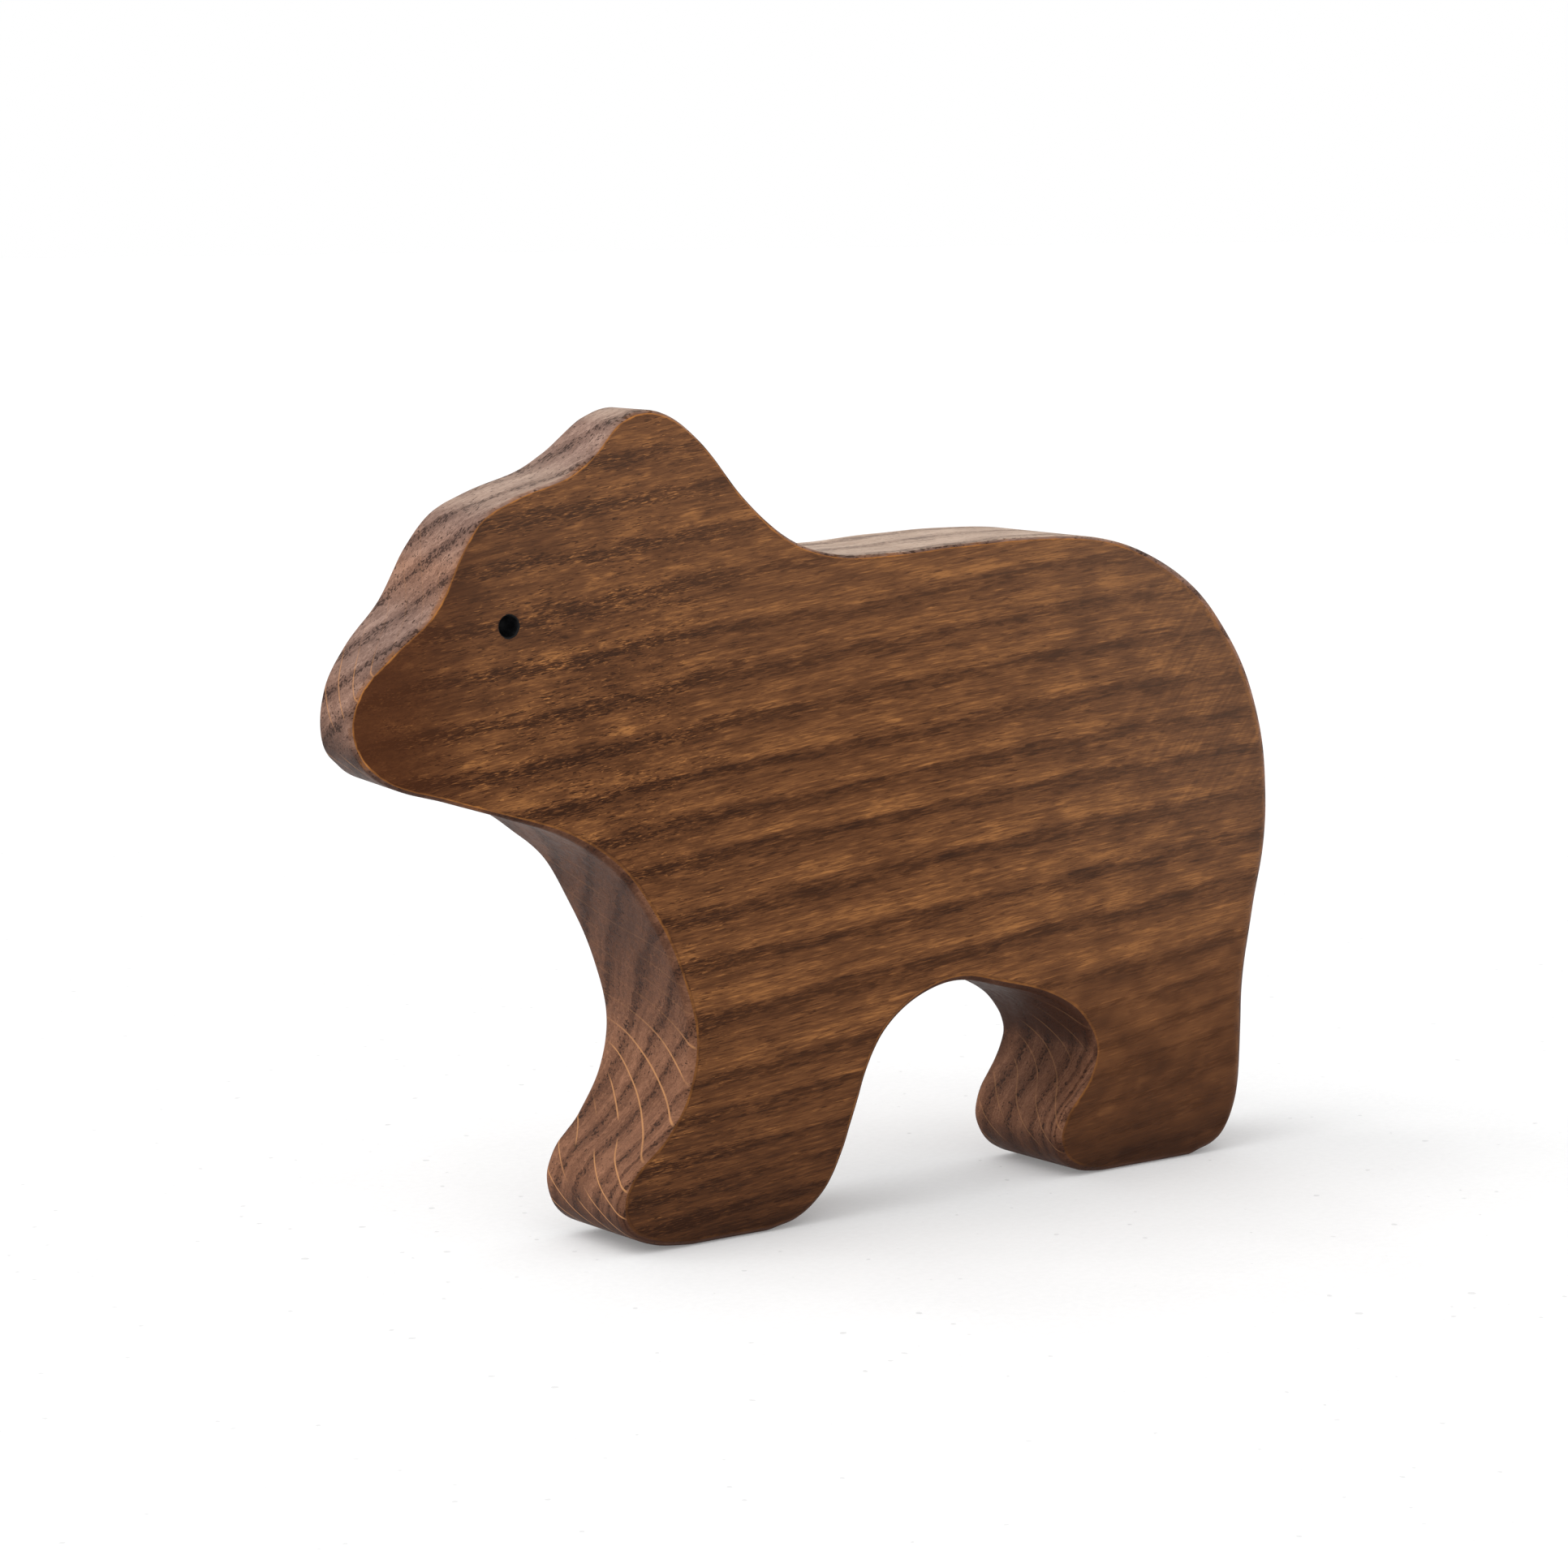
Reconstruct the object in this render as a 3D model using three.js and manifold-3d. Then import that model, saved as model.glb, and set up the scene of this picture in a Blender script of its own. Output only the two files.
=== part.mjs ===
// A toy bear sawn from one hardwood board, with its edges eased by hand.
// Frame: millimetres, +Z up, snout towards -X, rump towards +X, broad faces at -Y and +Y.
// The origin is on the ground, under the middle of the length and of the thickness.

import * as THREE from "three";
import { TessellateModifier } from "three/addons/modifiers/TessellateModifier.js";
import * as BufferGeometryUtils from "three/addons/utils/BufferGeometryUtils.js";
import Module from "manifold-3d";

// Driving dimensions
const boardThickness = 20.6;
const snoutThickness = 7.2;
const earThickness = 9.4;
const frontToeThickness = 16.2;
const rearToeThickness = 17.6;
const eyeDiameter = 3.0;
const eyeDepth = 2.4;
const eyeCentre = { x: -54.85, z: 84.15 };
const drillTipAngle = 118;
const paintGap = 0.3;
const paintThickness = 0.5;

// Edge rounding: tight round the head and along the back, soft round the rump
const headEdgeRadius = 0.7;
const legEdgeRadius = 1.3;
const rumpEdgeRadius = 3.2;
const edgeSteps = 2;

// Heights and places along the length over which the edge radius changes
const headEdgeBottom = 54;
const headEdgeTop = 62;
const rumpEdgeFront = 42;
const rumpEdgeBack = 68;
const rumpEdgeTop = 14;

// Mesh density
const outlineSpacing = 2.2;
const faceSpacing = 10;
const faceSplits = 12;
const holeSides = 24;
const weldDistance = 1e-3;
const solidWeldDistance = 1e-4;

// Where the head, the ear and the toes start to thin, and how fast
const headStart = -29;
const headPower = 0.8;
const muzzleStart = -66;
const muzzleStartLoss = 3.4;
const muzzlePower = 1.5;
const snoutTip = -76;
const throatHeight = 49;
const throatBlend = 7;
const earStart = 85;
const earTop = 110.5;
const earPower = 2;
const earBack = -8;
const earBlend = 10;
const frontToeStart = 17;
const rearToeStart = 13;
const betweenLegs = 15;

// The outline, seen from the -Y side, in two smooth stretches.
// The feet are flat on the ground between them.
const bellyStretch = [
  [-14, 0], [-8.6, 1.2], [-4.5, 4.5], [-2.1, 9.3], [-0.6, 14.7], [1.3, 20.2], [4.4, 25.3],
  [9.8, 29.2], [17.5, 30.9], [26, 29], [33.4, 26.7], [39, 23.2], [41.8, 18.5], [40.3, 14.3],
  [37, 10], [35.9, 6.2], [37.6, 2.7], [41.5, 0.6], [46, 0],
];
const backStretch = [
  [62, 0], [67.7, 1.9], [71, 7.6], [71.7, 17], [72, 26], [73.5, 34], [75.3, 42], [76, 50.5],
  [75.1, 59.5], [72.4, 68.1], [67.6, 76.3], [60.8, 83], [51.5, 87.9], [41, 90.7], [30, 91.3],
  [18, 91.1], [5, 90.5], [-4.5, 90.8], [-11.6, 93], [-18.5, 99], [-23.3, 105.7], [-27.3, 109.3],
  [-31.2, 110.4], [-35.8, 109], [-39.9, 105.5], [-44.4, 102.7], [-52.2, 100.3], [-57.7, 97.8],
  [-61.5, 93.4], [-63.9, 89], [-66, 86], [-71.5, 81.1], [-74.7, 77.3], [-76, 72],
  [-74.4, 67.5], [-70.8, 64.6], [-63.4, 62.2], [-54.4, 59.4], [-46.8, 56.6], [-39.3, 51.5],
  [-34.1, 44.4], [-30.2, 36.4], [-28.2, 28], [-29.5, 21.2], [-33.1, 15.6], [-37.1, 12],
  [-38.9, 8], [-37.6, 3.6], [-32.5, 0.9], [-26, 0],
];

const walnutStain = new THREE.MeshStandardMaterial({ color: 0x6b4128, roughness: 0.5, metalness: 0 });
const blackPaint = new THREE.MeshStandardMaterial({ color: 0x080808, roughness: 0.45, metalness: 0 });

/** How far a value has gone from one end of a stretch to the other, from 0 to 1. */
function progress(value, start, end) {
  return THREE.MathUtils.clamp((value - start) / (end - start), 0, 1);
}

/** Half the thickness of the board at a place on its broad face. */
function halfThickness(x, z) {
  const half = boardThickness / 2;
  const onHead = THREE.MathUtils.smoothstep(z, throatHeight - throatBlend, throatHeight + throatBlend);
  const headLoss = muzzleStartLoss * progress(x, headStart, muzzleStart) ** headPower;
  const snoutLoss = half - snoutThickness / 2 - muzzleStartLoss;
  const muzzleLoss = snoutLoss * progress(x, muzzleStart, snoutTip) ** muzzlePower;
  const onEar = THREE.MathUtils.smoothstep(-x, -earBack, -earBack + earBlend);
  const earLoss = (half - earThickness / 2) * progress(z, earStart, earTop) ** earPower;
  const toeThickness = x < betweenLegs ? frontToeThickness : rearToeThickness;
  const toeStart = x < betweenLegs ? frontToeStart : rearToeStart;
  const toeLoss = (half - toeThickness / 2) * progress(z, toeStart, 0);
  return half - onHead * (headLoss + muzzleLoss) - onEar * earLoss - toeLoss;
}

/** The radius of the rounded edge at a place on the outline. */
function edgeRadius(x, z) {
  const onHead = THREE.MathUtils.smoothstep(z, headEdgeBottom, headEdgeTop);
  const behind = THREE.MathUtils.smoothstep(x, rumpEdgeFront, rumpEdgeBack);
  const onRump = behind * THREE.MathUtils.smoothstep(z, 0, rumpEdgeTop);
  const radius = THREE.MathUtils.lerp(legEdgeRadius, headEdgeRadius, onHead);
  return THREE.MathUtils.lerp(radius, rumpEdgeRadius, onRump);
}

/** Evenly spaced points on a smooth curve through hand-picked ones. */
function smoothStretch(corners) {
  const curve = new THREE.CatmullRomCurve3(corners.map(([x, z]) => new THREE.Vector3(x, 0, z)));
  const steps = Math.round(curve.getLength() / outlineSpacing);
  return curve.getSpacedPoints(steps).map((point) => new THREE.Vector2(point.x, point.z));
}

/** The points strictly between the ends of a flat foot. */
function footFlat(start, end) {
  const steps = Math.round(start.distanceTo(end) / outlineSpacing);
  return Array.from({ length: steps - 1 }, (_, i) => start.clone().lerp(end, (i + 1) / steps));
}

/** The whole outline as one closed, counter-clockwise loop of points. */
function bearOutline() {
  const belly = smoothStretch(bellyStretch);
  const back = smoothStretch(backStretch);
  const rearFoot = footFlat(belly.at(-1), back[0]);
  const frontFoot = footFlat(back.at(-1), belly[0]);
  return [...belly, ...rearFoot, ...back, ...frontFoot];
}

/** The outward direction at each point of a counter-clockwise loop. */
function outwardDirections(loop) {
  return loop.map((_, i) => {
    const before = loop.at(i - 1);
    const after = loop[(i + 1) % loop.length];
    return new THREE.Vector2(after.y - before.y, before.x - after.x).normalize();
  });
}

/** One loop of the rounded rim: side is -1 or +1, turn runs from the rim (0) to the face (90 degrees). */
function rimLoop(outline, outward, side, turn) {
  return outline.map((point, i) => {
    const radius = edgeRadius(point.x, point.y);
    const inset = radius * (1 - Math.cos(turn));
    const x = point.x - outward[i].x * inset;
    const z = Math.max(point.y - outward[i].y * inset, 0);
    const y = side * (halfThickness(x, z) - radius * (1 - Math.sin(turn)));
    return new THREE.Vector3(x, y, z);
  });
}

/** The band of triangles between neighbouring loops. */
function rimGeometry(loops) {
  const count = loops[0].length;
  const index = [];
  for (let row = 0; row < loops.length - 1; row++) {
    for (let i = 0; i < count; i++) {
      const next = (i + 1) % count;
      const a = row * count + i;
      const b = row * count + next;
      const c = (row + 1) * count + next;
      const d = (row + 1) * count + i;
      index.push(a, c, b, a, d, c);
    }
  }
  const geometry = new THREE.BufferGeometry();
  geometry.setFromPoints(loops.flat());
  geometry.setIndex(index);
  return geometry.toNonIndexed();
}

/** A broad face inside its boundary loop, finely divided so that it can thin towards the head. */
function faceGeometry(loop, side) {
  const shape = new THREE.Shape(loop.map((point) => new THREE.Vector2(point.x, point.z)));
  let geometry = new THREE.ShapeGeometry(shape);
  geometry.deleteAttribute("uv");
  geometry.deleteAttribute("normal");
  geometry = new TessellateModifier(faceSpacing, faceSplits).modify(geometry);
  const position = geometry.getAttribute("position");
  for (let i = 0; i < position.count; i++) {
    const x = position.getX(i);
    const z = position.getY(i);
    position.setXYZ(i, x, side * halfThickness(x, z), z);
  }
  return side < 0 ? geometry : reversed(geometry);
}

/** The same triangles, facing the other way. */
function reversed(geometry) {
  const position = geometry.getAttribute("position");
  const a = new THREE.Vector3();
  const b = new THREE.Vector3();
  for (let i = 0; i < position.count; i += 3) {
    a.fromBufferAttribute(position, i);
    b.fromBufferAttribute(position, i + 1);
    position.setXYZ(i, b.x, b.y, b.z);
    position.setXYZ(i + 1, a.x, a.y, a.z);
  }
  return geometry;
}

/** The solid bear before its eyes are drilled. */
function bearBlank() {
  const outline = bearOutline();
  const outward = outwardDirections(outline);
  const turns = Array.from({ length: edgeSteps + 1 }, (_, i) => (i / edgeSteps) * (Math.PI / 2));
  const near = turns.toReversed().map((turn) => rimLoop(outline, outward, -1, turn));
  const far = turns.map((turn) => rimLoop(outline, outward, 1, turn));
  const pieces = [
    rimGeometry([...near, ...far]),
    faceGeometry(near[0], -1),
    faceGeometry(far.at(-1), 1),
  ];
  return BufferGeometryUtils.mergeVertices(BufferGeometryUtils.mergeGeometries(pieces), weldDistance);
}

/** A drill hole with a conical end, along -Z from its mouth at the origin and standing proud of it. */
function drillGeometry() {
  const radius = eyeDiameter / 2;
  const tip = radius / Math.tan(THREE.MathUtils.degToRad(drillTipAngle / 2));
  const profile = [
    new THREE.Vector2(0, -eyeDepth - tip),
    new THREE.Vector2(radius, -eyeDepth),
    new THREE.Vector2(radius, eyeDepth),
    new THREE.Vector2(0, eyeDepth),
  ];
  return new THREE.LatheGeometry(profile, holeSides);
}

/** The coat of paint in an eye: a shallow cup that follows the hole. */
function paintGeometry() {
  const outer = eyeDiameter / 2 - paintGap;
  const inner = outer - paintThickness;
  const slope = 1 / Math.tan(THREE.MathUtils.degToRad(drillTipAngle / 2));
  const floor = -eyeDepth + paintGap;
  const profile = [
    new THREE.Vector2(0, floor - outer * slope),
    new THREE.Vector2(outer, floor),
    new THREE.Vector2(outer, -paintGap),
    new THREE.Vector2(inner, -paintGap),
    new THREE.Vector2(inner, floor + paintThickness),
    new THREE.Vector2(0, floor + paintThickness - inner * slope),
  ];
  return new THREE.LatheGeometry(profile, holeSides);
}

/** Puts a geometry turned about the Y axis into an eye on the -Y (-1) or +Y (+1) side. */
function placeInEye(geometry, side) {
  const surface = side * halfThickness(eyeCentre.x, eyeCentre.z);
  geometry.rotateX(side < 0 ? Math.PI : 0);
  return geometry.translate(eyeCentre.x, surface, eyeCentre.z);
}

const wasm = await Module();
wasm.setup();

/** A manifold-3d solid from a closed geometry. */
function toSolid(source) {
  const bare = source.clone();
  bare.deleteAttribute("uv");
  bare.deleteAttribute("normal");
  const merged = BufferGeometryUtils.mergeVertices(bare, solidWeldDistance);
  const mesh = new wasm.Mesh({
    numProp: 3,
    vertProperties: new Float32Array(merged.getAttribute("position").array),
    triVerts: new Uint32Array(merged.getIndex().array),
  });
  return new wasm.Manifold(mesh);
}

/** A geometry with normals from a manifold-3d solid. */
function toGeometry(solid) {
  const mesh = solid.getMesh();
  const geometry = new THREE.BufferGeometry();
  geometry.setAttribute("position", new THREE.BufferAttribute(mesh.vertProperties, 3));
  geometry.setIndex(new THREE.BufferAttribute(mesh.triVerts, 1));
  geometry.computeVertexNormals();
  return geometry;
}

/** The bear's body: one board with a blind hole for the eye on each side. */
function bearBody() {
  let solid = toSolid(bearBlank());
  for (const side of [-1, 1]) {
    solid = solid.subtract(toSolid(placeInEye(drillGeometry(), side)));
  }
  return new THREE.Mesh(toGeometry(solid), walnutStain);
}

/** The paint in one eye. */
function eyePaint(side) {
  return new THREE.Mesh(toGeometry(toSolid(placeInEye(paintGeometry(), side))), blackPaint);
}

const bear = new THREE.Group();
const body = bearBody();
body.name = "bear_body";
bear.add(body);
for (const [name, side] of [["eye_left", -1], ["eye_right", 1]]) {
  const eye = eyePaint(side);
  eye.name = name;
  bear.add(eye);
}

export default bear;
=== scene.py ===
"""A toy bear sawn from one stained oak board, on a white table in soft daylight."""

import math

import bmesh
import bpy
import numpy as np
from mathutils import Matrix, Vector
from mathutils.geometry import delaunay_2d_cdt
from mathutils.noise import noise


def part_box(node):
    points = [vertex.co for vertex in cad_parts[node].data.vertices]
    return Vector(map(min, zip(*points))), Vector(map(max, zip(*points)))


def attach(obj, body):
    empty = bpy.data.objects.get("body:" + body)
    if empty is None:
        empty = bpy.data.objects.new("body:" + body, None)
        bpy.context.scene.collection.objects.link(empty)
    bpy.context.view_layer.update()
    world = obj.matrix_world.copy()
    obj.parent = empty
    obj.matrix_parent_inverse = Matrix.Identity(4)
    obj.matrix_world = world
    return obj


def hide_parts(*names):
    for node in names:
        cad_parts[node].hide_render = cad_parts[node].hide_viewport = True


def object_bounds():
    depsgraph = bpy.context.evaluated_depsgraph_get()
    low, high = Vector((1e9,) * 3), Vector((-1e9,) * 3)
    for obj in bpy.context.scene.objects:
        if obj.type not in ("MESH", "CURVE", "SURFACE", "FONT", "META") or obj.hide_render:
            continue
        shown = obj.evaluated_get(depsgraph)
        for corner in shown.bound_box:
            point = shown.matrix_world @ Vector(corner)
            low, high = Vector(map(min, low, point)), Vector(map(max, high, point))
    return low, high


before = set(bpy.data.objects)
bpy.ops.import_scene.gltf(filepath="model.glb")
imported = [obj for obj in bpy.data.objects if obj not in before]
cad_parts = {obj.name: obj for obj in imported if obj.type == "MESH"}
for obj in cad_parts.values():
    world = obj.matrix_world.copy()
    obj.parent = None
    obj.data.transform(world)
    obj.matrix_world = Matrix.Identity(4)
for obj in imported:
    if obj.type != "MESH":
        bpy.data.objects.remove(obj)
cad_low, cad_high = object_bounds()

# Lengths here are millimetres, as in the CAD source; meshes are written in metres.
MM = 0.001

# Fine mesh of the body
RIM_SPACING = 0.5
FACE_SPACING = 1.5
FACE_CLEARANCE = 0.45
CURVE_SAMPLES = 12
ROUNDING_STEPS = 7
RIM_ROWS = 14
FACE_MARGINS = (0.35, 0.9)

# The near broad face looks towards -Y, the far one towards +Y
NEAR_SIDE = -1
FAR_SIDE = 1

# The sawn rim and the planed faces take the finish differently; the rim's runs well round the edge
FACE_MATERIAL = 0
RIM_MATERIAL = 1
RIM_MATERIAL_STEPS = 5

# Rounded edges, as in the CAD model: their radii, and where along the bear one gives way to another
HEAD_EDGE_RADIUS = 0.7
LEG_EDGE_RADIUS = 1.3
RUMP_EDGE_RADIUS = 3.2
HEAD_EDGE_HEIGHTS = (54, 62)
RUMP_EDGE_LENGTHS = (42, 68)
RUMP_EDGE_HEIGHTS = (0, 14)
EDGE_TOLERANCE = 0.06

# Eyes; in the CAD model the paint stands a small gap clear of the drilled hole
EYE_SIDES = 56
EYE_DEPTH = 2.4
EYE_SOFTENING = 0.10
EYE_CLEARANCE = 0.3
MOUTH_CLEARANCE = 0.25
PAINT_GAP = 0.3
DRILL_TIP_ANGLE = math.radians(118)

# Hand work: how far sanding strays from the sawn line, above the feet
SANDING_WAVE = 0.09
SANDING_WAVE_LENGTH = 8.0
SANDING_HEIGHTS = (1.0, 6.0)
RADIUS_WAVE = 0.12
RADIUS_WAVE_LENGTH = 11.0
FACE_WAVE = 0.05
FACE_WAVE_LENGTH = 16.0
LIP_WAVE = 0.035

# Each wave starts at a place of its own in the noise
SANDING_SEED = 3.7
RADIUS_SEED = 5.3
FACE_SEED = 8.1
LIP_SEED = 11.5

# The saw leaned a little under the jaw, so the far side is cut higher there
JAW_UNDERCUT = 0.75
JAW_LENGTHS = (-43, -50)
JAW_HEIGHTS = (40, 50)
JAW_FACING = (0.3, 0.8)

# Small chips along the near edge of the brow: x, z and how far they reach
CHIPS = ((-64.3, 85.8, 0.5), (-71.2, 80.2, 0.4), (-62.2, 89.5, 0.35))


def smoothstep(value, start, end):
    """0 before the start, 1 after the end, and smooth between them."""
    t = np.clip((value - start) / (end - start), 0, 1)
    return t * t * (3 - 2 * t)


def wave(x, y, z, length, seed):
    """A smooth wave between -1 and 1, with bumps about as long as asked."""
    return noise(Vector((x / length + seed, y / length, z / length)))


def placed(name, data):
    """A new object in the scene."""
    thing = bpy.data.objects.new(name, data)
    bpy.context.scene.collection.objects.link(thing)
    return thing


# ---------------------------------------------------------------- body mesh


def section_loop(cad):
    """The CAD body's outline where the plane y = 0 cuts it, as x, z points in millimetres."""
    bm = bmesh.new()
    bm.from_mesh(cad.data)
    bmesh.ops.remove_doubles(bm, verts=bm.verts, dist=1e-6)
    everything = [*bm.verts, *bm.edges, *bm.faces]
    bmesh.ops.bisect_plane(
        bm,
        geom=everything,
        plane_co=(0, 0, 0),
        plane_no=(0, 1, 0),
        clear_inner=True,
        clear_outer=True,
    )
    start = min(bm.verts, key=lambda v: (v.co.z, v.co.x))
    loop = [start]
    edge = start.link_edges[0]
    while True:
        following = edge.other_vert(loop[-1])
        if following is start:
            break
        loop.append(following)
        edge = next(e for e in following.link_edges if e is not edge)
    points = np.array([(v.co.x, v.co.z) for v in loop]) / MM
    bm.free()
    return points


def without_midpoints(points, least_turn=0.004):
    """The corners of a closed loop, without the points that lie on a straight line."""
    before = points - np.roll(points, 1, axis=0)
    after = np.roll(points, -1, axis=0) - points
    cross = before[:, 0] * after[:, 1] - before[:, 1] * after[:, 0]
    dot = (before * after).sum(axis=1)
    return points[np.abs(np.arctan2(cross, dot)) > least_turn]


def with_filled_gaps(points, longest=3.0):
    """The same closed loop with points added where two neighbours are far apart."""
    filled = []
    for here, there in zip(points, np.roll(points, -1, axis=0)):
        steps = max(1, round(np.linalg.norm(there - here) / longest))
        filled.extend(here + (there - here) * k / steps for k in range(steps))
    return np.array(filled)


def counter_clockwise(points):
    """The same closed loop, turned round if it runs clockwise."""
    following = np.roll(points, -1, axis=0)
    signed_area = (points[:, 0] * following[:, 1] - points[:, 1] * following[:, 0]).sum()
    return points[::-1] if signed_area < 0 else points


def evenly_spaced(points, spacing):
    """Evenly spaced points on a smooth closed curve through the given ones."""
    p0 = np.roll(points, 1, axis=0)
    p1 = points
    p2 = np.roll(points, -1, axis=0)
    p3 = np.roll(points, -2, axis=0)
    dense = []
    for t in np.linspace(0, 1, CURVE_SAMPLES, endpoint=False):
        a = 2 * p1
        b = (p2 - p0) * t
        c = (2 * p0 - 5 * p1 + 4 * p2 - p3) * t**2
        d = (3 * p1 - p0 - 3 * p2 + p3) * t**3
        dense.append((a + b + c + d) / 2)
    curve = np.stack(dense, axis=1).reshape(-1, 2)
    curve = np.vstack([curve, curve[:1]])
    steps = np.linalg.norm(np.diff(curve, axis=0), axis=1)
    travelled = np.concatenate([[0], np.cumsum(steps)])
    count = round(travelled[-1] / spacing)
    wanted = np.linspace(0, travelled[-1], count, endpoint=False)
    return np.column_stack([np.interp(wanted, travelled, curve[:, k]) for k in (0, 1)])


def outward_directions(points):
    """The unit outward direction at each point of a counter-clockwise loop."""
    along = np.roll(points, -1, axis=0) - np.roll(points, 1, axis=0)
    outward = np.column_stack([along[:, 1], -along[:, 0]])
    return outward / np.linalg.norm(outward, axis=1)[:, None]


def edge_radius(x, z):
    """The radius of the rounded edge at a place on the outline."""
    on_head = smoothstep(z, *HEAD_EDGE_HEIGHTS)
    on_rump = smoothstep(x, *RUMP_EDGE_LENGTHS) * smoothstep(z, *RUMP_EDGE_HEIGHTS)
    radius = LEG_EDGE_RADIUS + (HEAD_EDGE_RADIUS - LEG_EDGE_RADIUS) * on_head
    return radius + (RUMP_EDGE_RADIUS - radius) * on_rump


def chipped(outline):
    """How much the chips widen the near rounded edge at each point of the outline."""
    extra = np.zeros(len(outline))
    for x, z, size in CHIPS:
        away = np.linalg.norm(outline - (x, z), axis=1) / size
        extra += size * np.exp(-(away**2))
    return extra


def jaw_undercut(outline, outward):
    """How much further in the far side is cut at each point of the outline."""
    under_jaw = smoothstep(outline[:, 0], *JAW_LENGTHS) * smoothstep(-outward[:, 1], *JAW_FACING)
    return JAW_UNDERCUT * under_jaw * smoothstep(outline[:, 1], *JAW_HEIGHTS)


def distance_to_loop(points, loop):
    """How far each point is from the nearest corner of a finely divided loop."""
    gaps = points[:, None, :] - loop[None, :, :]
    return np.sqrt((gaps**2).sum(axis=2)).min(axis=1)


class Thickness:
    """Half the board's thickness anywhere on a broad face: a thin plate through the CAD's corners."""

    def __init__(self, cad, loop, eye_centre, eye_radius):
        corners = np.array([v.co for v in cad.data.vertices]) / MM
        corners = np.unique(corners.round(3), axis=0)
        flat = corners[:, [0, 2]]
        inset = distance_to_loop(flat, loop)
        past_edge = inset > edge_radius(flat[:, 0], flat[:, 1]) - EDGE_TOLERANCE
        on_face = (corners[:, 1] < 0) & past_edge
        clear_of_eye = np.linalg.norm(flat - eye_centre, axis=1) > eye_radius + EYE_CLEARANCE
        keep = on_face & clear_of_eye
        self.centres = flat[keep]
        heights = -corners[keep, 1]
        count = len(self.centres)
        ones = np.column_stack([np.ones(count), self.centres])
        system = np.zeros((count + 3, count + 3))
        system[:count, :count] = self.kernel(self.centres)
        system[:count, count:] = ones
        system[count:, :count] = ones.T
        known = np.concatenate([heights, np.zeros(3)])
        self.weights = np.linalg.solve(system, known)

    def kernel(self, points):
        """How much each centre bends the plate at each point."""
        gaps = points[:, None, :] - self.centres[None, :, :]
        squared = (gaps**2).sum(axis=2)
        return squared * np.log(squared + 1e-9) / 2

    def at(self, points):
        """Half the thickness at each point of a broad face."""
        plane = np.column_stack([np.ones(len(points)), points])
        count = len(self.centres)
        return self.kernel(points) @ self.weights[:count] + plane @ self.weights[count:]


def sanded(points, outward):
    """The outline after hand sanding: it strays a little from the sawn line, but not at the feet."""
    free = smoothstep(points[:, 1], *SANDING_HEIGHTS)
    strays = [wave(x, 0, z, SANDING_WAVE_LENGTH, SANDING_SEED) for x, z in points]
    return points + outward * (SANDING_WAVE * free * np.array(strays))[:, None]


class MeshParts:
    """Vertices and faces gathered piece by piece, with how worn each vertex is and each face's material."""

    def __init__(self):
        self.vertices = []
        self.wear = []
        self.faces = []
        self.material_numbers = []

    def add_loop(self, points, wear):
        start = len(self.vertices)
        self.vertices.extend(map(tuple, points))
        self.wear.extend(np.broadcast_to(wear, len(points)))
        return list(range(start, start + len(points)))

    def add_face(self, corners, material=FACE_MATERIAL, flipped=False):
        self.faces.append(corners[::-1] if flipped else corners)
        self.material_numbers.append(material)

    def bridge(self, outer, inner, material=FACE_MATERIAL, flipped=False):
        """Quads between two loops with the same number of points."""
        if flipped:
            outer, inner = inner, outer
        for k in range(len(outer)):
            following = (k + 1) % len(outer)
            self.add_face((outer[k], outer[following], inner[following], inner[k]), material)

    def mesh(self, name):
        mesh = bpy.data.meshes.new(name)
        mesh.from_pydata(np.array(self.vertices) * MM, [], self.faces)
        layer = mesh.attributes.new("edge_wear", "FLOAT", "POINT")
        layer.data.foreach_set("value", np.array(self.wear, dtype=np.float32))
        mesh.polygons.foreach_set("material_index", self.material_numbers)
        mesh.shade_smooth()
        return mesh


def inset_loop(outline, outward, inset):
    """The outline moved inwards, but never below the table."""
    flat = outline - outward * inset[:, None]
    flat[:, 1] = np.maximum(flat[:, 1], 0)
    return flat


def rim_profile(outline, outward, radius, thickness, side, turn):
    """One loop of a rounded edge: turn runs from 0 on the rim to 90 degrees on the face."""
    flat = inset_loop(outline, outward, radius * (1 - math.cos(turn)))
    depth = thickness.at(flat) - radius * (1 - math.sin(turn))
    return np.column_stack([flat[:, 0], side * depth, flat[:, 1]])


def face_margin(outline, outward, inset, thickness, side):
    """A loop on the broad face, a little way in from its rounded edge."""
    flat = inset_loop(outline, outward, inset)
    return np.column_stack([flat[:, 0], side * thickness.at(flat), flat[:, 1]])


def lattice(low, high, spacing):
    """The points of a triangular lattice that covers a rectangle."""
    rows = []
    for row, z in enumerate(np.arange(low[1], high[1], spacing * math.sqrt(3) / 2)):
        x = np.arange(low[0], high[0], spacing) + (row % 2) * spacing / 2
        rows.append(np.column_stack([x, np.full(len(x), z)]))
    return np.vstack(rows)


def inside_loop(points, loop):
    """Which points lie inside a closed loop."""
    x, z = points[:, 0], points[:, 1]
    inside = np.zeros(len(points), dtype=bool)
    for (x1, z1), (x2, z2) in zip(loop, np.roll(loop, -1, axis=0)):
        crosses = (z1 > z) != (z2 > z)
        if z1 != z2:
            inside ^= crosses & (x < (x2 - x1) * (z - z1) / (z2 - z1) + x1)
    return inside


def circle(centre, radius, sides):
    """Points round a circle in the x, z plane, counter-clockwise."""
    angles = np.arange(sides) * 2 * math.pi / sides
    return centre + radius * np.column_stack([np.cos(angles), np.sin(angles)])


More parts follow.
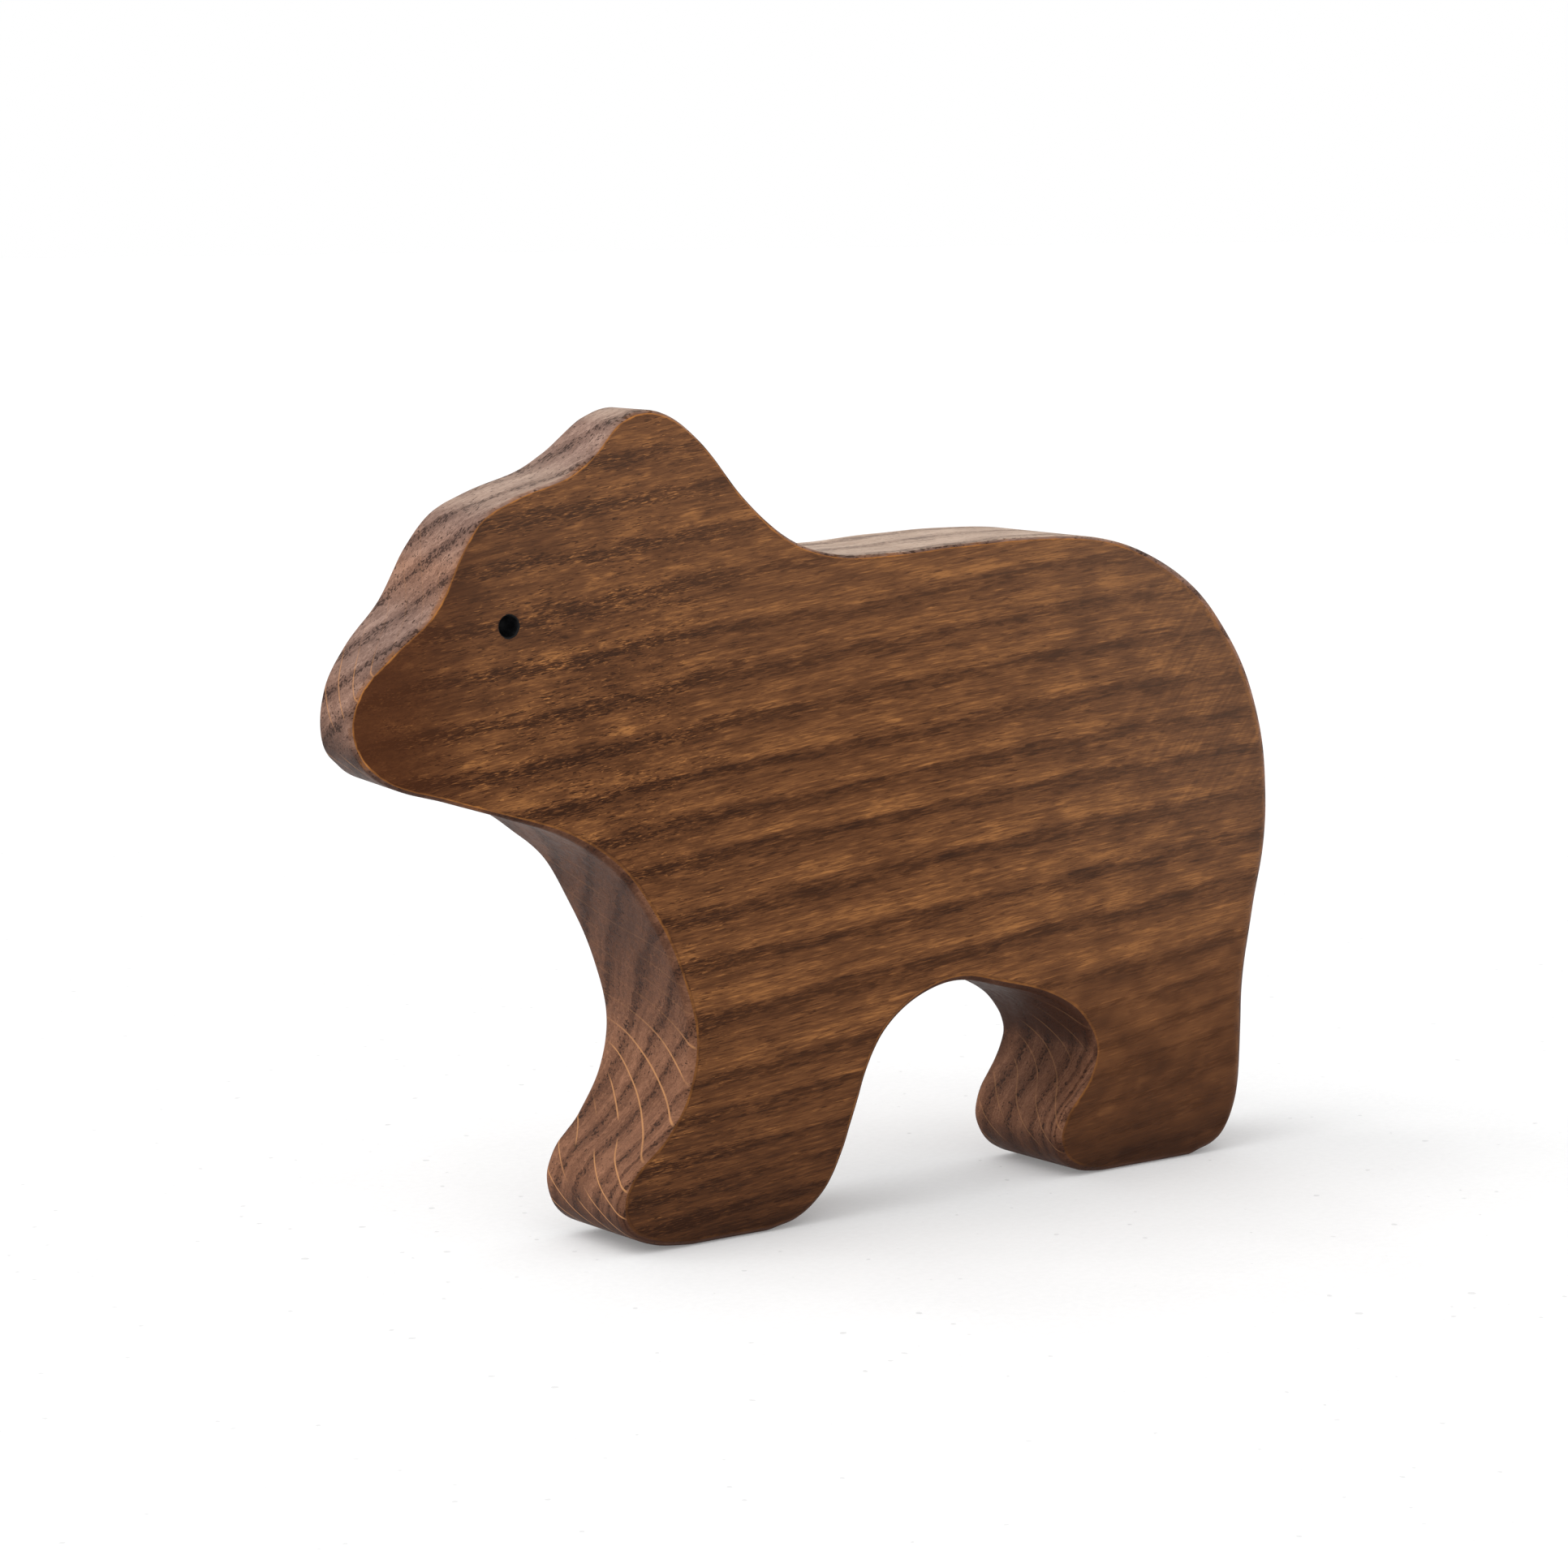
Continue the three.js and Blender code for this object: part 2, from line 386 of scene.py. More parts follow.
def add_broad_face(parts, edge, side, thickness, eye_centre, mouth):
    """A broad face inside its last margin loop, with an opening for the eye."""
    edge_points = np.array([parts.vertices[k] for k in edge])[:, [0, 2]]
    mouth_points = np.array([parts.vertices[k] for k in mouth])[:, [0, 2]]
    eye_radius = np.linalg.norm(mouth_points - eye_centre, axis=1).max()
    scatter = lattice(edge_points.min(axis=0), edge_points.max(axis=0), FACE_SPACING)
    scatter = scatter[inside_loop(scatter, edge_points)]
    scatter = scatter[distance_to_loop(scatter, edge_points) > FACE_SPACING * FACE_CLEARANCE]
    scatter = scatter[np.linalg.norm(scatter - eye_centre, axis=1) > eye_radius + MOUTH_CLEARANCE]
    depth = thickness.at(scatter)
    depth += [FACE_WAVE * wave(x, side * 10, z, FACE_WAVE_LENGTH, FACE_SEED) for x, z in scatter]
    scattered = parts.add_loop(np.column_stack([scatter[:, 0], side * depth, scatter[:, 1]]), 0)
    numbers = [*edge, *mouth, *scattered]
    flat = [Vector((parts.vertices[k][0], parts.vertices[k][2])) for k in numbers]
    rings = [list(range(len(edge))), list(range(len(edge), len(edge) + len(mouth)))]
    _, _, triangles, origins = delaunay_2d_cdt(flat, [], rings, 1, 1e-5)[:4]
    for triangle in triangles:
        corners = [numbers[origins[k][0]] for k in triangle]
        if not set(corners) <= set(mouth):
            parts.add_face(corners, flipped=side == FAR_SIDE)


def add_eye_hole(parts, side, thickness, eye_centre, eye_radius):
    """A drilled hole with a softened mouth and a conical end, and its mouth loop."""
    surface = float(thickness.at(eye_centre[None, :])[0])
    tip = eye_radius / math.tan(DRILL_TIP_ANGLE / 2)
    # Each row is a radius and how far below the face it lies
    profile = [
        (eye_radius + EYE_SOFTENING, 0),
        (eye_radius + EYE_SOFTENING * 0.3, EYE_SOFTENING * 0.3),
        (eye_radius, EYE_SOFTENING),
        (eye_radius, EYE_DEPTH * 0.5),
        (eye_radius, EYE_DEPTH),
        (eye_radius * 0.5, EYE_DEPTH + tip * 0.5),
        (eye_radius * 0.05, EYE_DEPTH + tip * 0.95),
    ]
    loops = []
    for radius, sunk in profile:
        ring = circle(eye_centre, radius, EYE_SIDES)
        height = thickness.at(ring) if sunk == 0 else np.full(EYE_SIDES, surface - sunk)
        points = np.column_stack([ring[:, 0], side * height, ring[:, 1]])
        loops.append(parts.add_loop(points, 0))
    for outer, inner in zip(loops, loops[1:]):
        parts.bridge(outer, inner, flipped=side == FAR_SIDE)
    parts.add_face(loops[-1], flipped=side == FAR_SIDE)
    return loops[0]


def add_rounded_edge(parts, outline, outward, radius, chips, thickness, side):
    """The rounded edge of one broad face; gives its loop on the rim and its last loop on the face."""
    loops = []
    for turn in np.linspace(0, math.pi / 2, ROUNDING_STEPS + 1):
        points = rim_profile(outline, outward, radius + chips, thickness, side, turn)
        loops.append(parts.add_loop(points, math.sin(2 * turn) + 3 * chips))
    for inset in FACE_MARGINS:
        points = face_margin(outline, outward, radius + chips + inset, thickness, side)
        loops.append(parts.add_loop(points, 2 * chips))
    for row, (outer, inner) in enumerate(zip(loops, loops[1:])):
        material = RIM_MATERIAL if row < RIM_MATERIAL_STEPS else FACE_MATERIAL
        parts.bridge(outer, inner, material, flipped=side == FAR_SIDE)
    return loops[0], loops[-1]


def add_sawn_rim(parts, near_loop, far_loop):
    """The sawn rim between the two rounded edges."""
    near = np.array([parts.vertices[k] for k in near_loop])
    far = np.array([parts.vertices[k] for k in far_loop])
    loops = [near_loop]
    for row in range(1, RIM_ROWS):
        loops.append(parts.add_loop(near + (far - near) * row / RIM_ROWS, 0))
    loops.append(far_loop)
    for nearer, farther in zip(loops, loops[1:]):
        parts.bridge(farther, nearer, RIM_MATERIAL)


def bear_body(cad, eye_centre, eye_radius):
    """The sawn and sanded board, finely meshed round the CAD body's own outline and thickness."""
    corners = counter_clockwise(with_filled_gaps(without_midpoints(section_loop(cad))))
    outline = evenly_spaced(corners, RIM_SPACING)
    thickness = Thickness(cad, outline, eye_centre, eye_radius)
    outline = sanded(outline, outward_directions(outline))
    outline[:, 1] = np.maximum(outline[:, 1], 0)
    outward = outward_directions(outline)
    radius = edge_radius(outline[:, 0], outline[:, 1])
    radius *= [1 + RADIUS_WAVE * wave(x, 0, z, RADIUS_WAVE_LENGTH, RADIUS_SEED) for x, z in outline]
    undercut = outline - outward * jaw_undercut(outline, outward)[:, None]
    chips = chipped(outline)
    parts = MeshParts()
    near_rim, near_margin = add_rounded_edge(parts, outline, outward, radius, chips, thickness, NEAR_SIDE)
    far_rim, far_margin = add_rounded_edge(parts, undercut, outward, radius, 0 * chips, thickness, FAR_SIDE)
    add_sawn_rim(parts, near_rim, far_rim)
    for side, margin in ((NEAR_SIDE, near_margin), (FAR_SIDE, far_margin)):
        mouth = add_eye_hole(parts, side, thickness, eye_centre, eye_radius)
        add_broad_face(parts, margin, side, thickness, eye_centre, mouth)
    return placed("bear_wood", parts.mesh("bear_wood")), thickness


def eye_paint(name, side, thickness, eye_centre, eye_radius):
    """Dried paint that lines an eye: a thin cup with a slightly ragged lip."""
    surface = float(thickness.at(eye_centre[None, :])[0])
    tip = eye_radius / math.tan(DRILL_TIP_ANGLE / 2)
    lip = eye_radius + 0.03
    # Each row is a radius and how far below the face it lies, from the outside of the cup to its inside
    profile = [
        (0.04, EYE_DEPTH + tip * 0.90),
        (0.5 * eye_radius, EYE_DEPTH + tip * 0.45),
        (0.985 * eye_radius, EYE_DEPTH * 0.97),
        (0.985 * eye_radius, 0.30),
        (lip, 0.04),
        (lip + 0.05, -0.012),
        (lip - 0.06, -0.020),
        (0.93 * eye_radius, 0.16),
        (0.88 * eye_radius, 0.50),
        (0.84 * eye_radius, EYE_DEPTH * 0.80),
        (0.42 * eye_radius, EYE_DEPTH * 0.80 + tip * 0.40),
        (0.04, EYE_DEPTH * 0.80 + tip * 0.74),
    ]
    parts = MeshParts()
    loops = []
    for row, (radius, sunk) in enumerate(profile):
        ring = circle(np.zeros(2), 1.0, EYE_SIDES)
        ragged = np.array([wave(x * 2.2, row * 0.15, z * 2.2, 1.0, LIP_SEED + side) for x, z in ring])
        reach = radius * (1 + LIP_WAVE * ragged * smoothstep(np.array(radius), 0.3, 1.2))
        flat = eye_centre + ring * reach[:, None]
        height = thickness.at(flat) - sunk if sunk < 0.1 else np.full(EYE_SIDES, surface - sunk)
        points = np.column_stack([flat[:, 0], side * height, flat[:, 1]])
        loops.append(parts.add_loop(points, 0))
    for outer, inner in zip(loops, loops[1:]):
        parts.bridge(outer, inner, flipped=side == FAR_SIDE)
    parts.add_face(loops[-1], flipped=side == FAR_SIDE)
    parts.add_face(loops[0], flipped=side == NEAR_SIDE)
    return placed(name, parts.mesh(name))


# ---------------------------------------------------------------- materials


class Graph:
    """A short way to write a material's nodes."""

    def __init__(self, name):
        self.material = bpy.data.materials.new(name)
        self.material.use_nodes = True
        self.nodes = self.material.node_tree.nodes
        self.links = self.material.node_tree.links
        self.shader = self.nodes["Principled BSDF"]

    def feed(self, socket, value):
        if isinstance(value, bpy.types.NodeSocket):
            self.links.new(value, socket)
        else:
            socket.default_value = value

    def math(self, operation, *values):
        node = self.nodes.new("ShaderNodeMath")
        node.operation = operation
        for socket, value in zip(node.inputs, values):
            self.feed(socket, value)
        return node.outputs[0]

    def add(self, a, b):
        return self.math("ADD", a, b)

    def subtract(self, a, b):
        return self.math("SUBTRACT", a, b)

    def multiply(self, a, b):
        return self.math("MULTIPLY", a, b)

    def times(self, *values):
        product = values[0]
        for value in values[1:]:
            product = self.multiply(product, value)
        return product

    def softened(self, tone, amount):
        """The tone with its difference from 1 scaled by the amount."""
        return self.add(self.multiply(self.subtract(tone, 1), amount), 1)

    def varied(self, value, amount):
        """A tone that is 1 where the noise is at its middle, and varies by the amount."""
        return self.add(self.multiply(self.subtract(value, 0.5), amount), 1)

    def step(self, value, start, end, low=0.0, high=1.0):
        """A smooth step of the value from start to end, mapped to low and high."""
        node = self.nodes.new("ShaderNodeMapRange")
        node.interpolation_type = "SMOOTHSTEP"
        self.feed(node.inputs["Value"], value)
        self.feed(node.inputs["From Min"], start)
        self.feed(node.inputs["From Max"], end)
        self.feed(node.inputs["To Min"], low)
        self.feed(node.inputs["To Max"], high)
        return node.outputs["Result"]

    def vector(self, x, y, z):
        node = self.nodes.new("ShaderNodeCombineXYZ")
        for socket, value in zip(node.inputs, (x, y, z)):
            self.feed(socket, value)
        return node.outputs[0]

    def split(self, vector):
        node = self.nodes.new("ShaderNodeSeparateXYZ")
        self.feed(node.inputs[0], vector)
        return node.outputs

    def millimetres(self):
        """The place on the object, in millimetres."""
        place = self.nodes.new("ShaderNodeTexCoord")
        scale = self.nodes.new("ShaderNodeVectorMath")
        scale.operation = "SCALE"
        self.links.new(place.outputs["Object"], scale.inputs[0])
        scale.inputs["Scale"].default_value = 1 / MM
        return scale.outputs[0]

    def noise(self, vector, detail=2.0, roughness=0.5, scale=1.0):
        node = self.nodes.new("ShaderNodeTexNoise")
        self.feed(node.inputs["Vector"], vector)
        node.inputs["Scale"].default_value = scale
        node.inputs["Detail"].default_value = detail
        node.inputs["Roughness"].default_value = roughness
        return node.outputs["Fac"]

    def curve(self, value, points, low, high):
        """A value looked up in a curve of straight pieces; its input runs from low to high."""
        node = self.nodes.new("ShaderNodeFloatCurve")
        mapping = node.mapping
        curve = mapping.curves[0]
        scaled = [((x - low) / (high - low), y) for x, y in points]
        curve.points[0].location = scaled[0]
        curve.points[-1].location = scaled[-1]
        for place in scaled[1:-1]:
            curve.points.new(*place)
        for point in curve.points:
            point.handle_type = "VECTOR"
        mapping.use_clip = False
        mapping.update()
        fraction = self.math("DIVIDE", self.subtract(value, low), high - low)
        self.feed(node.inputs["Value"], fraction)
        return node.outputs[0]

    def ramp(self, value, stops):
        """A colour looked up in a list of places between 0 and 1 and their colours."""
        node = self.nodes.new("ShaderNodeValToRGB")
        self.feed(node.inputs["Fac"], value)
        elements = node.color_ramp.elements
        while len(elements) < len(stops):
            elements.new(0.5)
        for element, (place, colour) in zip(elements, stops):
            element.position = place
            element.color = (*colour, 1)
        return node.outputs["Color"]

    def blend(self, amount, first, second):
        """A colour that runs from the first to the second as the amount runs from 0 to 1."""
        node = self.nodes.new("ShaderNodeMix")
        node.data_type = "RGBA"
        self.feed(node.inputs["Factor"], amount)
        colour_inputs = (node.inputs[6], node.inputs[7])
        for socket, colour in zip(colour_inputs, (first, second)):
            self.feed(socket, colour if isinstance(colour, bpy.types.NodeSocket) else (*colour, 1))
        return node.outputs[2]

    def bump(self, height, strength, distance):
        node = self.nodes.new("ShaderNodeBump")
        node.inputs["Strength"].default_value = strength
        node.inputs["Distance"].default_value = distance
        self.feed(node.inputs["Height"], height)
        return node.outputs["Normal"]

    def attribute(self, name):
        node = self.nodes.new("ShaderNodeAttribute")
        node.attribute_name = name
        return node.outputs["Fac"]

    def normal(self):
        return self.nodes.new("ShaderNodeNewGeometry").outputs["Normal"]


# Wood: fibres and rings climb towards the rump and level out there, and bend the other way low on
# the rear leg. The tree's centre lay in front of the near face, low down, so that the rings curve
# back through the board.
FIBRE_CLIMB = 0.10
FIBRE_BEND = 0.00045
RING_CLIMB = 0.088
HEAD_BEND = 0.00104
HEAD_BEND_START = -25
RUMP_BEND = 0.00072
RUMP_BEND_START = 30
LEG_HEIGHTS = (20, 60)
PITH_FRONT = 30
PITH_HEIGHT = 6
HEAD_LEAN = 0.4
HEAD_LEAN_HEIGHTS = (55, 85)
TOE_LOSS = 2.0
TOE_HEIGHTS = (0, 18)
BOARD_HALF = cad_high[1] / MM

# Heights of the dark pore bands up the near face, at the middle of the body.
RING_HEIGHTS = (
    -18, -11.5, -5, 1.4, 6.3, 10.6, 14.6, 20.0, 24.8, 33.3, 40.0, 46.8, 54.2, 59.6, 65.2, 71.6,
    77.8, 83.8, 90.6, 97.6, 104.0, 110.5, 117.5, 124, 131, 137.5, 144, 151,
)

# How rings stray: the length and height of the streaks, their detail and how far they reach
RING_STRAYS = ((40, 9, 1, 2.4), (10, 1.6, 2, 2.2), (3.2, 0.42, 1, 1.6))

# Tone across one growth ring, from the pores that start it to the next ring's
FACE_RING_PROFILE = (
    (0, 0.74), (0.08, 0.80), (0.16, 1.10), (0.25, 1.38), (0.40, 1.24),
    (0.60, 1.05), (0.78, 0.94), (0.92, 0.82), (1, 0.74),
)
RIM_RING_PROFILE = (
    (0, 0.66), (0.10, 0.72), (0.24, 1.12), (0.45, 1.20), (0.70, 1.06), (0.90, 0.84), (1, 0.66),
)

# Stain colours, with painted sheen in the rim's paler ones: tones are divided by the full tone and looked up
# here
FULL_TONE = 2.0
FACE_STAIN = (
    (0.12, (0.038, 0.0146, 0.0070)),
    (0.30, (0.095, 0.0357, 0.0137)),
    (0.52, (0.173, 0.0680, 0.0248)),
    (0.95, (0.390, 0.1630, 0.0510)),
)
RIM_BROWN = (
    (0.12, (0.052, 0.0195, 0.0105)),
    (0.45, (0.185, 0.0820, 0.0455)),
    (0.90, (0.345, 0.1640, 0.0930)),
)
# Painted sheen: a greyer rim colour for up-facing slopes of the head, and a paler one where the rim lies
# flat along the back
RIM_SLOPE_SHEEN = (
    (0.12, (0.052, 0.0305, 0.0250)),
    (0.45, (0.180, 0.1120, 0.0900)),
    (0.90, (0.340, 0.2350, 0.1930)),
)
RIM_TOP_SHEEN = (
    (0.12, (0.150, 0.1000, 0.0750)),
    (0.45, (0.440, 0.3150, 0.2350)),
    (0.90, (0.640, 0.4900, 0.3800)),
)
# Painted sheen: the grey that the face takes towards the back and the rump
GREY_SHEEN = (0.145, 0.085, 0.058)
SNOUT_BROWN = (0.082, 0.0235, 0.0065)
DARK_EDGE = (0.045, 0.016, 0.007)
WORN_FACE_EDGE = (0.42, 0.165, 0.042)
WORN_RIM_EDGE = (0.33, 0.120, 0.028)
OPEN_PORE = (0.030, 0.013, 0.008)
RAY_GOLD = (0.50, 0.24, 0.10)
RAY_SPACING = 3.7

# Relief of the pores, the fibres and the brushed paint: its depth in metres, and the wood's strength
RELIEF_DEPTH = 0.00008
RELIEF_STRENGTH = 0.5


def ring_number(g, height):
    """How many growth rings lie below a height."""
    low = RING_HEIGHTS[0]
    high = RING_HEIGHTS[-1]
    last = len(RING_HEIGHTS) - 1
    points = [(height_here, k / last) for k, height_here in enumerate(RING_HEIGHTS)]
    return g.multiply(g.curve(height, points, low, high), last)


class Oak(Graph):
    """A graph that knows where each point of the board lies among the fibres and the growth rings."""

    def __init__(self, name):
        super().__init__(name)
        self.x, self.y, self.z = self.split(self.millimetres())
        self.up = self.height_across_fibres()
        self.level = self.height_across_rings()
        self.phase = self.math("FRACT", ring_number(self, self.level))

    def height_across_fibres(self):
        """The height at the middle of the body of the fibre through each point."""
        bend = self.multiply(self.multiply(self.x, self.x), self.step(self.z, *LEG_HEIGHTS, -0.8, 1.0))
        bend = self.multiply(bend, FIBRE_BEND)
        return self.subtract(self.z, self.subtract(self.multiply(self.x, FIBRE_CLIMB), bend))

    def height_across_rings(self):
        """The height, on the near face at the middle of the body, of the ring through each point."""
        past_head = self.math("MAXIMUM", self.subtract(HEAD_BEND_START, self.x), 0)
        past_rump = self.math("MAXIMUM", self.subtract(self.x, RUMP_BEND_START), 0)
        head_lift = self.times(past_head, past_head, HEAD_BEND)
        rump_drop = self.times(past_rump, past_rump, self.step(self.z, *LEG_HEIGHTS, -1.5, 1.0), RUMP_BEND)
        climb = self.subtract(self.add(self.multiply(self.x, RING_CLIMB), head_lift), rump_drop)
        height = self.subtract(self.z, climb)

        # Rings are circles round the pith, so each meets the near face at a height of its own. Depth
        # counts from the near face, which draws back at the toes.
        toe = self.step(self.z, *TOE_HEIGHTS, TOE_LOSS, 0)
        depth = self.math("MAXIMUM", self.subtract(self.add(self.y, BOARD_HALF), toe), 0)
        above = self.subtract(height, PITH_HEIGHT)
        curving = self.multiply(depth, self.add(depth, 2 * PITH_FRONT))
        squared = self.add(self.multiply(above, above), curving)
        level = self.add(self.math("SQRT", squared), PITH_HEIGHT)
        level = self.add(level, self.multiply(depth, self.step(height, *HEAD_LEAN_HEIGHTS, 0, HEAD_LEAN)))
        for along, across, detail, amount in RING_STRAYS:
            stray = self.subtract(self.streaks(along, across, detail), 0.5)
            level = self.add(level, self.multiply(stray, amount))
        return level

    def streaks(self, along, across, detail=2.0, roughness=0.5):
        """Noise drawn out along the fibre; the two sizes are millimetres."""
        place = self.vector(
            self.multiply(self.x, 1 / along),
            self.multiply(self.up, 1 / across),
            self.multiply(self.y, 1 / across),
        )
        return self.noise(place, detail, roughness)

    def patches(self, size, detail=2.0):
        """Noise of the same size every way."""
        place = self.vector(*(self.multiply(part, 1 / size) for part in (self.x, self.z, self.y)))
        return self.noise(place, detail)

    def pore_band(self):
        """1 where a growth ring starts, and pores crowd together, down to 0 between such bands."""
        from_start = self.math("MINIMUM", self.phase, self.subtract(1, self.phase))
        return self.step(from_start, 0.03, 0.24, 1, 0)

    def stained(self, tone, stops):
        """The stain's colour at a tone."""
        return self.ramp(self.math("DIVIDE", tone, FULL_TONE), stops)

    def finish(self, colour, roughness, relief, specular):
        """The finished material, with a shallow relief."""
        self.feed(self.shader.inputs["Base Color"], colour)
        self.feed(self.shader.inputs["Roughness"], roughness)
        self.shader.inputs["Specular IOR Level"].default_value = specular
        self.feed(self.shader.inputs["Normal"], self.bump(relief, RELIEF_STRENGTH, RELIEF_DEPTH))
        return self.material


def face_rings(g, calm):
    """Light and dark across each growth ring: weaker in places, on the head and on the rear leg."""
    strength = g.times(
        g.step(g.streaks(17, 5, 2), 0.3, 0.7, 0.4, 1.2),
        g.step(g.z, 55, 90, 1.14, 0.6),
        g.step(g.z, 8, 34, 0.5, 1.0),
        g.step(g.x, 50, 72, 1.0, 0.65),
    )
    tone = g.softened(g.curve(g.phase, FACE_RING_PROFILE, 0, 1), strength)
    return g.softened(tone, g.subtract(1, g.multiply(calm, 0.7)))


def face_fibres(g, calm, fine, middle):
    """Fibres, from the finest to broad soft stripes, and clouds over them."""
    broad = g.streaks(10, 1.7, 3, 0.6)
    cloud = g.streaks(7, 5, 2)
    cloud_strength = g.add(g.step(g.x, 15, 50, 0.5, 1.4), g.step(g.x, -20, -45, 0, 1.0))
    tone = g.times(g.varied(fine, 1.3), g.varied(middle, 1.6), g.varied(broad, 1.0))
    tone = g.subtract(tone, g.multiply(g.subtract(tone, 1), calm))
    return g.multiply(tone, g.varied(cloud, cloud_strength))


def face_pores(g, crowding, on_head):
    """Pores cut open lengthwise: long dark streaks, and crisp short dashes, most of all on the head."""
    long_pores = g.step(g.add(g.streaks(2.8, 0.34, 2, 0.6), crowding), 0.63, 0.72)
    dash_noise = g.add(g.streaks(1.7, 0.15, 1, 0.5), crowding)
    dashes = g.multiply(g.step(dash_noise, 0.65, 0.71), g.add(0.4, g.multiply(on_head, 0.6)))
    return g.math("MAXIMUM", g.multiply(long_pores, 0.72), dashes)


def face_lights(g, crowding, on_head):
    """Pale fibres, a few golden patches, and pale flecks among the pores of the head, painted highlights
    where their relief would catch the light.
    """
    pale_fibre = g.step(g.streaks(4.5, 0.26, 1, 0.5), 0.60, 0.72)
    flame = g.step(g.streaks(5, 1.8, 2), 0.58, 0.70)
    gold = g.multiply(flame, g.step(g.x, -20, -45, 0.22, 0.48))
    # Painted highlight: pale flecks beside the pores of the head
    pore_highlight = g.times(g.step(g.add(g.streaks(1.1, 0.18, 1, 0.5), crowding), 0.70, 0.75), on_head)
    return g.add(g.add(g.multiply(pale_fibre, 0.26), gold), g.multiply(pore_highlight, 0.9))


def rump_hatch(g):
    """A faint slanting hatch that sanding left on the rump."""
    along = g.add(g.multiply(g.x, 0.62), g.multiply(g.z, 0.78))
    across = g.subtract(g.multiply(g.x, 0.78), g.multiply(g.z, 0.62))
    place = g.vector(g.multiply(along, 0.12), g.multiply(across, 1.3), g.multiply(g.y, 0.2))
    zone = g.multiply(g.step(g.x, 40, 60, 0, 0.9), g.step(g.z, 40, 60))
    return g.multiply(g.subtract(g.noise(place, 1), 0.5), zone)


def face_zones(g, calm):
    """Darker at the snout, the feet and low on the body, painted shade at the rounded end of the rump,
    lighter up on the back.
    """
    low_wood = g.step(g.level, 24.0, 26.5, 0.95, 1.0)
    brow = g.multiply(g.step(g.x, -38, -56), g.step(g.z, 76, 90))
    snout = g.multiply(g.step(g.x, -76, -56, 0.54, 1.0), g.subtract(1, g.multiply(brow, 0.24)))
    feet = g.times(
        g.step(g.z, 0, 7, 0.54, 1.0),
        g.step(g.z, 3, 23, 0.70, 1.0),
        g.step(calm, 0.2, 0.75, 1, 0.84),
    )
    back = g.times(g.step(g.z, 60, 108, 0.87, 1.08), g.step(g.x, -50, 40, 0.86, 1.06))
    # Painted shade on the rounded end of the rump, which faces away from the light
    rump_end_shade = g.step(g.x, 71, 76, 1.0, 0.82)
    return g.times(low_wood, snout, feet, back, rump_end_shade)


def face_edges(g, colour):
    """The face's colour with its edges: dark low down, and worn to warmer, lighter wood in places."""
    edge = g.attribute("edge_wear")
    dark = g.times(g.step(edge, 0.02, 0.35), g.step(g.z, 66, 54, 0.0, 0.45), g.step(g.x, 45, 25))
    patches = g.math("MAXIMUM", g.step(g.patches(3.5, 3), 0.42, 0.66), g.step(edge, 0.9, 1.4))
    ragged = g.add(edge, g.multiply(g.subtract(g.patches(1.3, 2), 0.5), 0.9))
    worn = g.times(
        g.step(ragged, 0.22, 0.62),
        g.add(g.multiply(patches, 0.6), 0.35),
        g.step(g.z, 52, 66, 0.45, 1.0),
        g.step(g.x, 36, 56, 1.0, 0.4),
        g.step(g.z, 3, 12, 0.3, 1.0),
    )
    return g.blend(worn, g.blend(dark, colour, DARK_EDGE), WORN_FACE_EDGE)


def oak_face():
    """The broad faces: dark-stained oak cut along the grain, with dark pore streaks in bands."""
    g = Oak("stained_hardwood")
    fine = g.streaks(2.2, 0.13, 2, 0.6)
    middle = g.streaks(6.5, 0.42, 3, 0.62)

    # The wood is plainer on the rear leg
    calm = g.multiply(g.step(g.x, 18, 48), g.step(g.z, 44, 20, 0, 0.75))

    # Pores crowd into the bands
    on_head = g.step(g.x, -5, -38)
    clumps = g.multiply(g.subtract(g.streaks(6, 1.5, 2), 0.5), 0.38)
    crowding = g.add(g.multiply(g.pore_band(), 0.16), clumps)
    pore = face_pores(g, crowding, on_head)
    pore_depth = g.multiply(g.step(g.x, -20, -45, 0.58, 0.70), g.subtract(1, g.multiply(calm, 0.8)))

    tone = g.times(
        face_rings(g, calm),
        face_fibres(g, calm, fine, middle),
        face_zones(g, calm),
        g.subtract(1, g.multiply(pore, pore_depth)),
        g.add(1, rump_hatch(g)),
        g.add(1, face_lights(g, crowding, on_head)),
    )
    colour = g.stained(tone, FACE_STAIN)

    # A painted grey sheen towards the back and the rump, and a deeper brown at the snout
    rump_sheen = g.multiply(g.step(g.x, 0, 75, 0, 0.34), g.step(g.z, 15, 60))
    colour = g.blend(g.add(g.step(g.z, 60, 105, 0, 0.22), rump_sheen), colour, GREY_SHEEN)
    colour = g.blend(g.step(g.x, -54, -74, 0, 0.6), colour, SNOUT_BROWN)
    colour = face_edges(g, colour)

    roughness = g.add(g.step(middle, 0.3, 0.7, 0.42, 0.55), g.multiply(pore, 0.2))
    relief = g.subtract(g.add(g.multiply(middle, 0.8), g.multiply(fine, 0.5)), pore)
    return g.finish(colour, roughness, relief, 0.06)


def rim_pores(g):
    """Open pores in clumps along the bands, the largest on the head."""
    clumps = g.multiply(g.subtract(g.patches(1.6, 2), 0.5), 0.40)
    crowding = g.add(g.multiply(g.pore_band(), 0.15), clumps)
    opening = g.streaks(0.7, 0.34, 1, 0.5)
    zone = g.step(g.z, 45, 70, 0.0, 0.04)
    return g.step(g.add(g.add(opening, crowding), zone), 0.69, 0.76)


